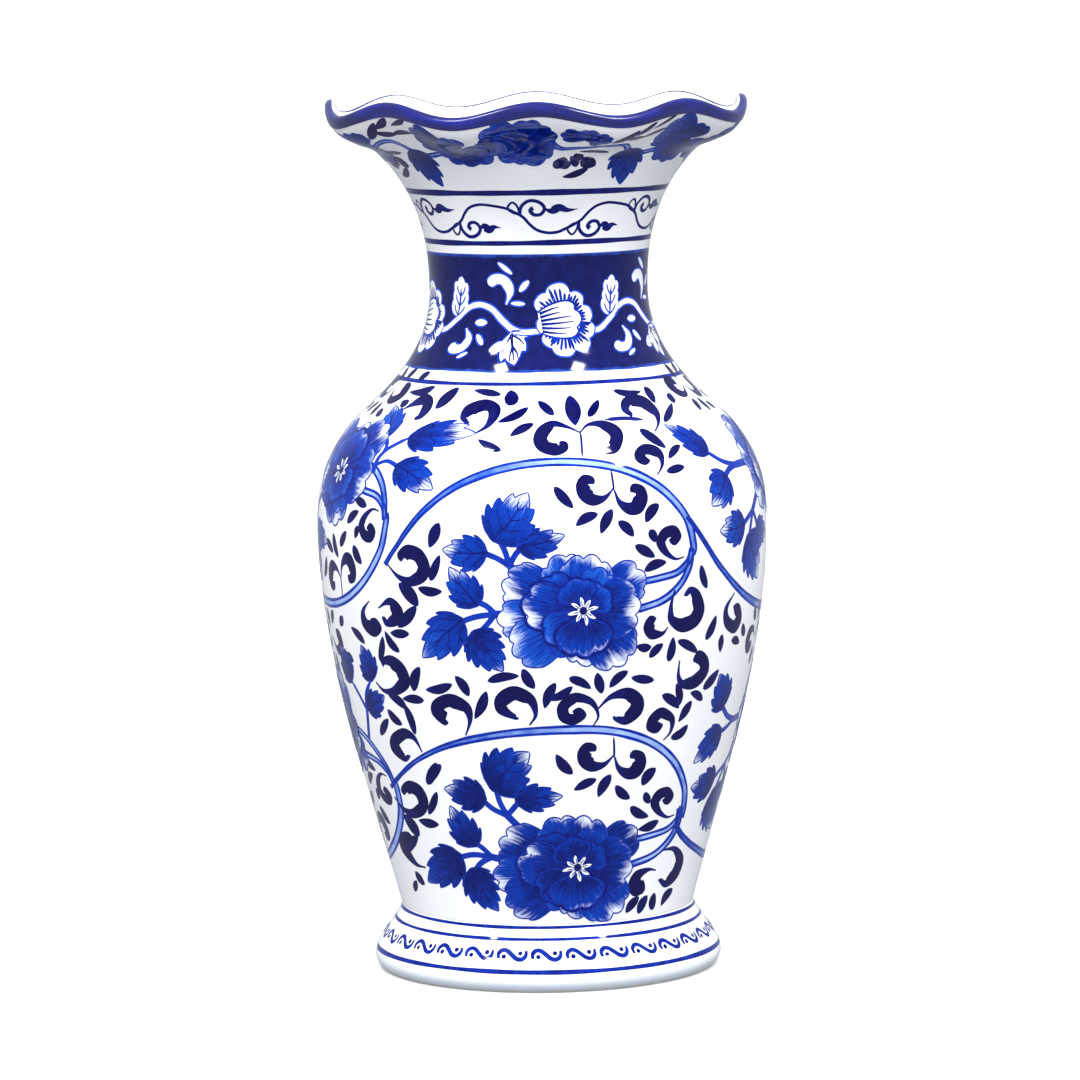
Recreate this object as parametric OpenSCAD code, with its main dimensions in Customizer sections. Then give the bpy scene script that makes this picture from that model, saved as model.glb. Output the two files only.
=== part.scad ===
// Flared vase with a ruffled rim: sections of thrown clay, luted one on the other.
// Millimetres, +Z up. The origin is the centre of the circle that the foot rests on.

/* [Overall] */
// Height from the table to the crests of the rim
vase_h = 305; // [300:1:312]
// Thickness of the wall
wall = 4.5; // [3.5:0.5:5]
// Height of the step by which each section sits inside the next
lap_h = 2; // [1:0.5:3]

/* [Foot] */
// Widest radius of the foot
foot_r = 61.2; // [60:0.2:64]
// Outer radius of the bare ring that stands on the table
rest_out_r = 56.5; // [55:0.5:57]
// Inner radius of the bare ring that stands on the table
rest_in_r = 50.5; // [49:0.5:52]
// Radius of the rounded edge at the bottom of the foot
foot_edge_r = 4.5; // [3:0.1:6]
// Radius of the recess under the foot, where it meets the floor
recess_r = 45; // [42:0.5:46]
// Depth of the recess under the foot
recess_h = 13; // [10:0.5:14]
// Radius of the floor disc, which sits on a ledge in the foot
floor_r = 47.5; // [47:0.1:48]
// Thickness of the floor disc
floor_t = 5.5; // [4:0.5:6]

/* [Body] */
// Height of the waist, the crease where the foot meets the body
waist_z = 22.5; // [21:0.5:26]
// Radius of the waist
waist_r = 51.6; // [51:0.1:54]
// Height of the widest point
belly_z = 157; // [150:1:160]
// Radius at the widest point
belly_r = 78.9; // [74:0.1:84]
// Height of the steepest point of the shoulder
shoulder_z = 199; // [196:0.5:203]
// Radius at the steepest point of the shoulder
shoulder_r = 59.6; // [57:0.1:62]

/* [Neck] */
// Height of the joint between shoulder and neck
neck_joint_z = 213; // [210:1:216]
// Height of the narrowest point of the neck
neck_z = 238; // [234:1:243]
// Radius at the narrowest point of the neck
neck_r = 38.3; // [35:0.1:42]
// Height of the joint between neck and mouth
mouth_joint_z = 262; // [258:1:266]

/* [Mouth] */
// Height at which the ruffled rim starts
rim_z = 285; // [284:0.5:287]
// Radius at which the ruffled rim starts
rim_r = 54.4; // [52:0.1:56]
// Greatest radius of the upturned lip
lip_r = 74.1; // [70:0.1:77]
// Thickness of the lip at its rounded top
lip_t = 3.9; // [3:0.1:5]
// Number of lobes round the rim
lobes = 8; // [6:1:10]
// How far each crest stands above the mean height of the lip
ruffle_rise = 2.5; // [0:0.1:4]
// How far each trough leans outwards from the mean radius of the lip
ruffle_sway = 0.8; // [0:0.1:1.5]

/* [Hidden] */

porcelain = "white";
cobalt = "mediumblue";

// Slopes dr/dz at the knots of the outer profile
foot_top_slope = -0.3;
waist_slope = 0.27;
shoulder_slope = -1.15;
rim_slope = 0.9;

// Knots of the outer profile: height, radius, slope
body_knots = [[waist_z, waist_r, waist_slope],
              [belly_z, belly_r, 0],
              [shoulder_z, shoulder_r, shoulder_slope],
              [neck_z, neck_r, 0],
              [rim_z, rim_r, rim_slope]];

// Height between the points of a turned profile
step_h = 4;

// Rounded top of the lip: its centre's height, and the points round it
lip_cap_r = lip_t / 2;
lip_cap_z = vase_h - ruffle_rise - lip_cap_r;
lip_cap_steps = 4;

// The ruffled rim and the lip lie between two Bezier curves, outside and inside
rim_wall_w = wall * sqrt(1 + rim_slope * rim_slope);
rim_lead = [rim_slope, 1] / sqrt(1 + rim_slope * rim_slope);
rim_outside = [[rim_r, rim_z],
               [rim_r, rim_z] + 6 * rim_lead,
               [lip_r, lip_cap_z - 7],
               [lip_r, lip_cap_z]];
rim_inside = [[rim_r - rim_wall_w, rim_z],
              [rim_r - rim_wall_w, rim_z] + 8 * rim_lead,
              [lip_r - lip_t, lip_cap_z - 4.2],
              [lip_r - lip_t, lip_cap_z]];
// Where along those curves the lip is luted to the rim
lip_split = 0.74;
rim_steps = 6;
lip_steps = 3;
// Facets round the ruffled pieces
ruffle_facets = 96;

// Hermite curve between two knots, at height z
function hermite(a, b, z) =
    let (h = b[0] - a[0], t = (z - a[0]) / h, t2 = t * t, t3 = t2 * t)
    a[1] * (2 * t3 - 3 * t2 + 1) + a[2] * h * (t3 - 2 * t2 + t)
    + b[1] * (3 * t2 - 2 * t3) + b[2] * h * (t3 - t2);

// Index of the pair of knots that height z lies between
function knot_below(z, i = 0) =
    i >= len(body_knots) - 2 || z < body_knots[i + 1][0] ? i : knot_below(z, i + 1);

// Outer radius of the vase above the waist
function outer_r(z) = let (i = knot_below(z)) hermite(body_knots[i], body_knots[i + 1], z);

// Inner radius: the wall's thickness is measured square to its slope
function inner_r(z) =
    let (slope = (outer_r(z + 0.1) - outer_r(z - 0.1)) / 0.2)
    outer_r(z) - wall * sqrt(1 + slope * slope);

// Radius half way through the wall, where a lap joint steps
function mid_r(z) = (outer_r(z) + inner_r(z)) / 2;

// Heights from a to b in equal steps of about step_h
function heights(a, b) =
    let (n = ceil(abs(b - a) / step_h)) [for (i = [0:n]) a + (b - a) * i / n];

// Outline of one turned section. A stepped top stands up inside the next section,
// and a stepped bottom sits over the one below.
function section_outline(z0, z1, step_bottom, step_top) =
    let (low = z0 + (step_bottom ? lap_h : 0), high = z1 + (step_top ? lap_h : 0))
    concat([for (z = heights(z0, z1)) [outer_r(z), z]],
           step_top ? [[mid_r(z1), z1], [mid_r(z1), high]] : [],
           [for (z = heights(high, low)) [inner_r(z), z]],
           step_bottom ? [[mid_r(z0), low], [mid_r(z0), z0]] : []);

module turned(outline) {
    rotate_extrude($fn = 180) polygon(outline);
}

// Outline of the foot: rest ring, rounded edge, concave flank, ledge for the floor, recess
function foot_outline() =
    let (edge_x = foot_r - foot_edge_r,
         low = [foot_edge_r, foot_r, 0],
         top = [waist_z, waist_r, foot_top_slope])
    concat([[rest_in_r, 0], [rest_out_r, 0]],
           [for (a = [-75:15:-15])
               [edge_x + foot_edge_r * cos(a), foot_edge_r * (1 + sin(a))]],
           [for (z = heights(foot_edge_r, waist_z)) [hermite(low, top, z), z]],
           [[floor_r, waist_z], [floor_r, recess_h], [recess_r, recess_h]]);

function bezier(p, t) =
    let (u = 1 - t)
    u * u * u * p[0] + 3 * u * u * t * p[1] + 3 * u * t * t * p[2] + t * t * t * p[3];

// Share of the ruffle's full height at a place along the rim, rising smoothly to 1
function ruffle_share(t) = let (s = min(1, t / lip_split)) s * s * (3 - 2 * s);

// A point of the rim's section: radius, height, share of the ruffle
function rim_point(curve, t) = concat(bezier(curve, t), [ruffle_share(t)]);

// Section of the ruffled rim: up the outside and down the inside
function rim_section() =
    concat([for (i = [0:rim_steps]) rim_point(rim_outside, lip_split * i / rim_steps)],
           [for (i = [rim_steps:-1:0]) rim_point(rim_inside, lip_split * i / rim_steps)]);

// Section of the lip: up the outside, round the top, down the inside
function lip_section() =
    let (reach = 1 - lip_split, mid = lip_r - lip_cap_r)
    concat([for (i = [0:lip_steps]) rim_point(rim_outside, lip_split + reach * i / lip_steps)],
           [for (i = [1:lip_cap_steps - 1])
               let (a = 180 * i / lip_cap_steps)
               [mid + lip_cap_r * cos(a), lip_cap_z + lip_cap_r * sin(a), 1]],
           [for (i = [lip_steps:-1:0]) rim_point(rim_inside, lip_split + reach * i / lip_steps)]);

// A section point carried round to angle a, lifted at the crests and splayed at the troughs
function ruffled(p, a) =
    let (wave = p[2] * cos(lobes * a), r = p[0] - ruffle_sway * wave)
    [r * cos(a), r * sin(a), p[1] + ruffle_rise * wave];

// Closed ring of facets, one copy of the section at each step round the vase
module ruffled_ring(section) {
    n = ruffle_facets;
    m = len(section);
    points = [for (i = [0:n - 1]) for (p = section) ruffled(p, 360 * i / n)];
    faces = [for (i = [0:n - 1]) for (j = [0:m - 1])
                let (a = i * m, b = (i + 1) % n * m, k = (j + 1) % m)
                each [[a + j, a + k, b + k], [a + j, b + k, b + j]]];
    polyhedron(points, faces);
}

// Foot ring, turned and hollow underneath, with a ledge for the floor
module foot_ring() {
    color(porcelain) turned(foot_outline());
}

// Floor of the vase, a disc on the foot's ledge
module base_floor() {
    color(porcelain) translate([0, 0, recess_h]) cylinder(h = floor_t, r = floor_r, $fn = 180);
}

// Lower body, from the waist up to the widest point
module lower_body() {
    color(porcelain) turned(section_outline(waist_z, belly_z, false, true));
}

// Shoulder, from the widest point in to the neck
module shoulder() {
    color(porcelain) turned(section_outline(belly_z, neck_joint_z, true, true));
}

// Neck, the waisted collar above the shoulder
module neck() {
    color(porcelain) turned(section_outline(neck_joint_z, mouth_joint_z, true, true));
}

// Mouth, the plain part of the flare
module mouth_flare() {
    color(porcelain) turned(section_outline(mouth_joint_z, rim_z, true, false));
}

// Rim, the part of the flare that is pinched into lobes
module ruffled_rim() {
    color(porcelain) ruffled_ring(rim_section());
}

// Lip, turned up and rounded over, following the lobes
module rolled_lip() {
    color(cobalt) ruffled_ring(lip_section());
}

foot_ring();
base_floor();
lower_body();
shoulder();
neck();
mouth_flare();
ruffled_rim();
rolled_lip();
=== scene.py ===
"""A flared white vase with a ruffled rim, painted in cobalt blue under the glaze.

The body is rebuilt smooth from the CAD sections. Every brush stroke is a thin closed
inlay that follows the glazed surface, so the painting is geometry and not a picture.
Lengths are millimetres until a mesh is made. Angles are degrees round the vase,
0 at the front (-Y) and growing towards +X.
"""
import math
import random

import bpy
import numpy as np
from mathutils import Matrix, Vector


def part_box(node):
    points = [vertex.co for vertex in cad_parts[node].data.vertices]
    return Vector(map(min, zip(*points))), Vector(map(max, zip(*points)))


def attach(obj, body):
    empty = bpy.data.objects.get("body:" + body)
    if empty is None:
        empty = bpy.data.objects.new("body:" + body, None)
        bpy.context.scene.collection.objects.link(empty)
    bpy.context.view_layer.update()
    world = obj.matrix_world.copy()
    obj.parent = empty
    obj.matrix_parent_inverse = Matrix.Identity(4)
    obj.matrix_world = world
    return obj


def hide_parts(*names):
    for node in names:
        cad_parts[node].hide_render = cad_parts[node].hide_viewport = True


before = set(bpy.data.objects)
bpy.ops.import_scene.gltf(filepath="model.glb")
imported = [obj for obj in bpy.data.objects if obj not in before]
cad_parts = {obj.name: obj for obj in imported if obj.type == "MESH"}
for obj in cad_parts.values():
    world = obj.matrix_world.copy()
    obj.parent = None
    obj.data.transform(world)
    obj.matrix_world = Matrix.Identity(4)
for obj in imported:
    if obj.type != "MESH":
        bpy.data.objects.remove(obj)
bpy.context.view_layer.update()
MM = 0.001
random.seed(7)

# ---------------------------------------------------------------- driving dimensions


def low(node):
    """Lowest corner of a CAD node, in millimetres."""
    return Vector(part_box(node)[0]) / MM


def high(node):
    """Highest corner of a CAD node, in millimetres."""
    return Vector(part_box(node)[1]) / MM


VASE_H = high("rolled_lip").z
WALL = 4.5
REST_OUT_R = 56.5
REST_IN_R = 50.5
FOOT_R = high("foot_ring").x
FOOT_EDGE_R = 4.5
FOOT_TOP_SLOPE = -0.3
RECESS_R = 45.0
FLOOR_Z = low("base_floor").z
FLOOR_TOP_Z = high("base_floor").z
FLOOR_R = high("base_floor").x
# The turned floor disc keeps a hole this small at its middle
PIN_R = 0.02
WAIST_Z = high("foot_ring").z
WAIST_R = 51.6
BELLY_Z = low("shoulder").z
BELLY_R = high("shoulder").x
SHOULDER_Z = 199.0
SHOULDER_R = 59.6
NECK_JOINT_Z = low("neck").z
NECK_Z = 238.0
NECK_R = 38.3
MOUTH_JOINT_Z = low("mouth_flare").z
RIM_Z = low("ruffled_rim").z
RIM_R = high("mouth_flare").x
RIM_SLOPE = 0.9
LIP_T = 3.9
LOBES = 8
RUFFLE_RISE = 2.5
RUFFLE_SWAY = 0.8
LIP_R = high("rolled_lip").x + RUFFLE_SWAY
LIP_CAP_R = LIP_T / 2
LIP_CAP_Z = VASE_H - RUFFLE_RISE - LIP_CAP_R
LIP_SPLIT = 0.74

# The glaze lies this far inside the CAD surface, so that the painting stays in its box
SINK = 0.25
# Height of the lowest stroke above the glaze, and of each coat above the one below
FIRST_COAT = 0.02
COAT = 0.008
# The lip's colour covers all other coats, and at this one it still stays in the vase's box
LIP_COAT = 27
# Share of a coat by which strokes laid one after another differ, and after how many it repeats
STAGGER = 0.05
STAGGER_OVER = 9
# How far a stroke reaches down into the glaze
STROKE_ROOT = 0.3
# Facets round the vase, and steps along a line painted right round it
ROUND = 288
LINE_ROUND = 360
# Millimetres up the wall and radians round it over which a slope is measured
STEP_UP = 0.1
STEP_ROUND = 1e-3

# ---------------------------------------------------------------- surfaces


def hermite(a, b, z):
    """Radius at height z on the cubic between knots (height, radius, slope)."""
    h = b[0] - a[0]
    t = (z - a[0]) / h
    return (a[1] * (2 * t**3 - 3 * t**2 + 1) + a[2] * h * (t**3 - 2 * t**2 + t)
            + b[1] * (3 * t**2 - 2 * t**3) + b[2] * h * (t**3 - t**2))


BODY_KNOTS = [(WAIST_Z, WAIST_R, 0.27), (BELLY_Z, BELLY_R, 0.0), (SHOULDER_Z, SHOULDER_R, -1.15),
              (NECK_Z, NECK_R, 0.0), (RIM_Z, RIM_R, RIM_SLOPE)]


def body_radius(z):
    """Outer radius of the vase between the waist and the rim."""
    for a, b in zip(BODY_KNOTS, BODY_KNOTS[1:]):
        if z <= b[0]:
            return hermite(a, b, z)
    return RIM_R


def inner_radius(z):
    """Inner radius, one wall thickness in, square to the slope."""
    slope = (body_radius(z + STEP_UP) - body_radius(z - STEP_UP)) / (2 * STEP_UP)
    return body_radius(z) - WALL * math.hypot(1, slope)


def bezier(p, t):
    """Point of a cubic Bezier curve."""
    u = 1 - t
    return u**3 * p[0] + 3 * u * u * t * p[1] + 3 * u * t * t * p[2] + t**3 * p[3]


def ruffle_share(t):
    """Share of the ruffle's full height at a place along the rim."""
    s = min(1.0, t / LIP_SPLIT)
    return s * s * (3 - 2 * s)


RIM_LEAD = np.array([RIM_SLOPE, 1.0]) / math.hypot(RIM_SLOPE, 1)
RIM_START = np.array([RIM_R, RIM_Z])
RIM_START_IN = RIM_START - np.array([WALL * math.hypot(RIM_SLOPE, 1), 0])
RIM_OUTSIDE = [RIM_START, RIM_START + 6 * RIM_LEAD, np.array([LIP_R, LIP_CAP_Z - 7]),
               np.array([LIP_R, LIP_CAP_Z])]
RIM_INSIDE = [RIM_START_IN, RIM_START_IN + 8 * RIM_LEAD,
              np.array([LIP_R - LIP_T, LIP_CAP_Z - 4.2]), np.array([LIP_R - LIP_T, LIP_CAP_Z])]


def rim_points(curve, cap_from, cap_to):
    """Rows of radius, height and ruffle share along the rim, and over the lip to its top."""
    rows = [(*bezier(curve, t), ruffle_share(t)) for t in np.linspace(0, 1, 81)[1:]]
    for a in np.radians(np.linspace(cap_from, cap_to, 13)[1:]):
        rows.append((LIP_R - LIP_CAP_R + LIP_CAP_R * math.cos(a),
                     LIP_CAP_Z + LIP_CAP_R * math.sin(a), 1.0))
    return rows


class Skin:
    """One side of the vase's wall, addressed by angle and by distance s up its profile.

    Its side is 1 where the glaze faces away from the axis, and -1 where it faces the axis.
    """

    def __init__(self, rows, side):
        rows = np.array(rows)
        self.r, self.z, self.share = rows[:, 0], rows[:, 1], rows[:, 2]
        steps = np.hypot(np.diff(self.r), np.diff(self.z))
        self.s = np.concatenate([[0], np.cumsum(steps)])
        self.side = side

    def up(self, z):
        """Distance up the profile of a mean height z."""
        return np.interp(z, self.z, self.s)

    def radius(self, s):
        return np.interp(s, self.s, self.r)

    def bare_point(self, theta, s):
        """Points of the CAD surface."""
        wave = np.interp(s, self.s, self.share) * np.cos(LOBES * theta)
        r = np.interp(s, self.s, self.r) - RUFFLE_SWAY * wave
        z = np.interp(s, self.s, self.z) + RUFFLE_RISE * wave
        return np.stack([r * np.sin(theta), -r * np.cos(theta), z], -1)

    def normal(self, theta, s):
        """Unit normal of the glaze, from small steps round and up the wall."""
        s = np.clip(s, STEP_UP, self.s[-1] - STEP_UP)
        along = self.bare_point(theta + STEP_ROUND, s) - self.bare_point(theta - STEP_ROUND, s)
        up = self.bare_point(theta, s + STEP_UP) - self.bare_point(theta, s - STEP_UP)
        n = np.cross(along, up) * self.side
        return n / np.linalg.norm(n, axis=-1, keepdims=True)

    def point(self, theta, s, lift=0.0):
        """Points of the glaze, or of a stroke that stands off it by the lift."""
        return self.bare_point(theta, s) + self.normal(theta, s) * (lift - SINK)


def foot_rows():
    """The foot's outside, from the rest ring up to the waist."""
    rows = []
    for a in np.radians(np.linspace(-90, 0, 25)):
        rows.append((FOOT_R - FOOT_EDGE_R + FOOT_EDGE_R * math.cos(a),
                     FOOT_EDGE_R * (1 + math.sin(a)), 0.0))
    flank = [(FOOT_EDGE_R, FOOT_R, 0.0), (WAIST_Z, WAIST_R, FOOT_TOP_SLOPE)]
    for z in np.linspace(FOOT_EDGE_R, WAIST_Z, 90)[1:]:
        rows.append((hermite(*flank, z), z, 0.0))
    return rows


FOOT = Skin(foot_rows(), 1)
OUTSIDE = Skin([(body_radius(z), z, 0.0) for z in np.linspace(WAIST_Z, RIM_Z, 1100)]
               + rim_points(RIM_OUTSIDE, 0, 90), 1)
INSIDE = Skin([(inner_radius(z), z, 0.0) for z in np.linspace(WAIST_Z, RIM_Z, 500)]
              + rim_points(RIM_INSIDE, 180, 90), -1)

# ---------------------------------------------------------------- materials

GLAZE_IOR = 1.48
GLAZE_SHINE = 0.22
# The lip's colour is thick and sits rougher on the glaze, so it shines more widely
LIP_SHINE = 0.7
LIP_ROUGHNESS = 0.20


class Nodes:
    """Short names for building one material's nodes."""

    def __init__(self, name):
        self.material = bpy.data.materials.new(name)
        self.material.use_nodes = True
        self.tree = self.material.node_tree
        self.shader = self.tree.nodes["Principled BSDF"]

    def add(self, kind, inputs=(), **settings):
        node = self.tree.nodes.new(kind)
        for key, value in settings.items():
            setattr(node, key, value)
        for socket, value in dict(inputs).items():
            self.feed(node.inputs[socket], value)
        return node

    def feed(self, socket, value):
        if isinstance(value, bpy.types.NodeSocket):
            self.tree.links.new(value, socket)
        else:
            socket.default_value = value

    def maths(self, operation, a, b=0.0):
        return self.add("ShaderNodeMath", {0: a, 1: b}, operation=operation).outputs[0]

    def plus(self, a, b):
        return self.maths("ADD", a, b)

    def minus(self, a, b):
        return self.maths("SUBTRACT", a, b)

    def times(self, a, b):
        return self.maths("MULTIPLY", a, b)

    def vector(self, x, y, z=0.0):
        return self.add("ShaderNodeCombineXYZ", {0: x, 1: y, 2: z}).outputs[0]

    def blend(self, factor, a, b):
        node = self.add("ShaderNodeMix", data_type="RGBA", blend_type="MIX")
        self.feed(node.inputs[0], factor)
        self.feed(node.inputs[6], a)
        self.feed(node.inputs[7], b)
        return node.outputs[2]

    def span(self, value, lo, hi, to_lo=0.0, to_hi=1.0):
        ends = {0: value, 1: lo, 2: hi, 3: to_lo, 4: to_hi}
        return self.add("ShaderNodeMapRange", ends, interpolation_type="SMOOTHSTEP").outputs[0]

    def noise(self, scale, detail=2.0, where=None, rough=0.5):
        if where is None:
            where = self.add("ShaderNodeTexCoord").outputs["Object"]
        inputs = {"Scale": scale, "Detail": detail, "Roughness": rough, "Vector": where}
        return self.add("ShaderNodeTexNoise", inputs).outputs[0]

    def bump(self, height, strength, distance):
        node = self.add("ShaderNodeBump", {"Height": height, "Strength": strength,
                                           "Distance": distance})
        self.tree.links.new(node.outputs[0], self.shader.inputs["Normal"])

    def glaze(self, colour, roughness=0.05):
        """A hard gloss over the colour, with the faint unevenness of a fired glaze."""
        wear = self.span(self.noise(90.0, 3.0), 0.3, 0.7, roughness - 0.02, roughness + 0.04)
        self.feed(self.shader.inputs["Base Color"], colour)
        self.feed(self.shader.inputs["Roughness"], wear)
        self.shader.inputs["IOR"].default_value = GLAZE_IOR
        self.shader.inputs["Specular IOR Level"].default_value = GLAZE_SHINE
        self.bump(self.noise(140.0, 2.0), 0.05, 0.0004)
        return self.material


def white_glaze(name="white_glaze"):
    """Blue-white porcelain: cloudy tint, and a few pinholes and specks of ash."""
    n = Nodes(name)
    cloud = n.span(n.noise(26.0, 3.0), 0.35, 0.7)
    tint = n.blend(cloud, (0.825, 0.838, 0.86, 1), (0.87, 0.875, 0.885, 1))
    speck = n.span(n.noise(900.0, 0.0), 0.79, 0.82)
    tint = n.blend(n.times(speck, 0.25), tint, (0.45, 0.46, 0.50, 1))
    return n.glaze(tint)


def stroke_uv(n):
    """Distance along a stroke (0 to 1) and place across it (0 to 1)."""
    uv = n.add("ShaderNodeUVMap", uv_map="Stroke").outputs[0]
    parts = n.add("ShaderNodeSeparateXYZ", {0: uv})
    return parts.outputs[0], parts.outputs[1]


def stroke_trait(n, name):
    return n.add("ShaderNodeAttribute", attribute_name=name).outputs["Fac"]


def ink(name, dark, light):
    """Cobalt laid with a full brush: darker where it pooled, bluer where it ran thin."""
    n = Nodes(name)
    load = stroke_trait(n, "load")
    pool = n.span(n.noise(420.0, 3.0), 0.3, 0.7)
    amount = n.plus(n.times(pool, 0.30), n.times(load, 0.75))
    return n.glaze(n.blend(n.span(amount, 0.1, 0.95), light, dark))


def wash(name, depth):
    """Thin cobalt on petals and leaves: deep at the root, streaked, paling to bare glaze.

    The depth is how much darker it is than on the upper flowers, and how much less is bare.
    On the mouth's flowers that darkening is painted shade, for the underside of the flare.
    """
    n = Nodes(name)
    u, v = stroke_uv(n)
    pale = stroke_trait(n, "pale")
    load = stroke_trait(n, "load")
    seed = stroke_trait(n, "seed")
    streak = n.noise(3.0, 3.0, n.vector(n.times(v, 8.0), n.times(u, 1.2), seed), 0.6)
    cloud = n.noise(170.0, 3.0)
    deep = (0.001, 0.008, 0.120, 1)
    middle = (0.001, 0.028, 0.310, 1)
    bright = (0.007, 0.085, 0.500, 1)
    bare = (0.74, 0.79, 0.90, 1)
    # The tone grows from the root to the edge. The reach decides where the glaze is left bare.
    tone = n.plus(n.times(u, 0.48), n.times(streak, 0.70))
    tone = n.plus(tone, n.times(cloud, 0.30))
    tone = n.minus(tone, n.times(load, 0.40))
    tone = n.minus(tone, depth)
    colour = n.blend(n.span(tone, 0.30, 0.62), deep, middle)
    colour = n.blend(n.span(tone, 0.58, 0.95), colour, bright)
    reach = n.plus(u, n.times(n.minus(streak, 0.5), 0.45))
    reach = n.plus(reach, n.times(n.minus(cloud, 0.5), 0.15))
    edge = n.minus(1.10 + 0.5 * depth, n.times(pale, 0.36))
    white = n.times(n.span(n.minus(reach, edge), -0.16, 0.16),
                    n.span(pale, 0.0, 0.25))
    return n.glaze(n.blend(white, colour, bare))


def vine_wash():
    """The pale, watery blue inside a double-edged stem."""
    n = Nodes("vine_wash")
    streak = n.noise(160.0, 3.0)
    load = stroke_trait(n, "load")
    amount = n.plus(n.times(streak, 0.7), n.times(load, 0.6))
    return n.glaze(n.blend(n.span(amount, 0.3, 0.95), (0.36, 0.50, 0.86, 1),
                           (0.02, 0.09, 0.48, 1)))


def band_ground():
    """The flooded navy ground of the neck, with bluer brush sweeps and a thin bright edge."""
    n = Nodes("band_ground")
    u, v = stroke_uv(n)
    sweep = n.vector(n.times(u, 60.0), n.times(v, 9.0))
    tone = n.span(n.noise(1.0, 4.0, sweep), 0.3, 0.75)
    colour = n.blend(tone, (0.004, 0.006, 0.072, 1), (0.006, 0.010, 0.108, 1))
    near = n.maths("ABSOLUTE", n.minus(v, 0.5))
    rim = n.span(n.plus(near, n.times(n.noise(300.0), 0.05)), 0.49, 0.525)
    return n.glaze(n.blend(n.times(rim, 0.8), colour, (0.02, 0.08, 0.50, 1)))


def lip_cobalt():
    """The lip, run round with a loaded brush: long streaks, brighter where it ran thin."""
    n = Nodes("lip_cobalt")
    u, v = stroke_uv(n)
    sweep = n.vector(n.times(u, 26.0), n.times(v, 3.0))
    colour = n.blend(n.span(n.noise(1.0, 4.0, sweep), 0.35, 0.72), (0.004, 0.005, 0.080, 1),
                     (0.007, 0.010, 0.230, 1))
    n.glaze(colour, LIP_ROUGHNESS)
    n.shader.inputs["Specular IOR Level"].default_value = LIP_SHINE
    return n.material


# ---------------------------------------------------------------- the body's sections


def skin_run(skin, s0, s1, step):
    """A smooth stretch of wall, as (skin, distances up it)."""
    count = max(2, round(abs(s1 - s0) / step) + 1)
    return skin, np.linspace(s0, s1, count)


def flat_run(*corners):
    """A turned stretch with sharp corners, as (None, rows of radius and height)."""
    return None, np.array(corners, float)


def turned_piece(name, runs, material):
    """Closed ring swept round the vase from smooth and flat runs of its section."""
    theta = np.linspace(0, 2 * math.pi, ROUND, endpoint=False)
    rings, shading, joined = [], [], []
    for skin, path in runs:
        for k, stop in enumerate(path):
            if skin is None:
                ring = np.stack([stop[0] * np.sin(theta), -stop[0] * np.cos(theta),
                                 np.full(ROUND, stop[1])], -1)
                shade = None
            else:
                s = np.full(ROUND, stop)
                ring = skin.point(theta, s)
                shade = skin.normal(theta, s)
            if k == 0 and rings and np.allclose(ring, rings[-1], atol=1e-6):
                joined[-1] = True
                shading[-1] = shading[-1] if shade is None else shade
                continue
            rings.append(ring)
            shading.append(shade)
            joined.append(skin is not None and k < len(path) - 1)
    m = len(rings)
    verts = np.stack(rings, 1).reshape(-1, 3) * MM
    faces, normals = [], []
    for i in range(ROUND):
        j = (i + 1) % ROUND
        for a in range(m):
            b = (a + 1) % m
            face = (i * m + a, j * m + a, j * m + b, i * m + b)
            faces.append(face)
            if joined[a] and shading[a] is not None and shading[b] is not None:
                normals += [shading[a][i], shading[a][j], shading[b][j], shading[b][i]]
            else:
                p, q, r = verts[face[0]], verts[face[1]], verts[face[3]]
                flat = np.cross(q - p, r - p)
                flat /= max(np.linalg.norm(flat), 1e-12)
                normals += [flat] * 4
    return finish_mesh(name, verts, faces, normals, material)


def finish_mesh(name, verts, faces, normals, material):
    """Makes the object, shades it by the given corner normals and ties it to the frame."""
    mesh = bpy.data.meshes.new(name)
    mesh.from_pydata([tuple(v) for v in verts], [], faces)
    mesh.polygons.foreach_set("use_smooth", [True] * len(mesh.polygons))
    mesh.normals_split_custom_set([tuple(n) for n in normals])
    mesh.materials.append(material)
    piece = bpy.data.objects.new(name, mesh)
    bpy.context.scene.collection.objects.link(piece)
    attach(piece, "root")
    return piece


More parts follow.
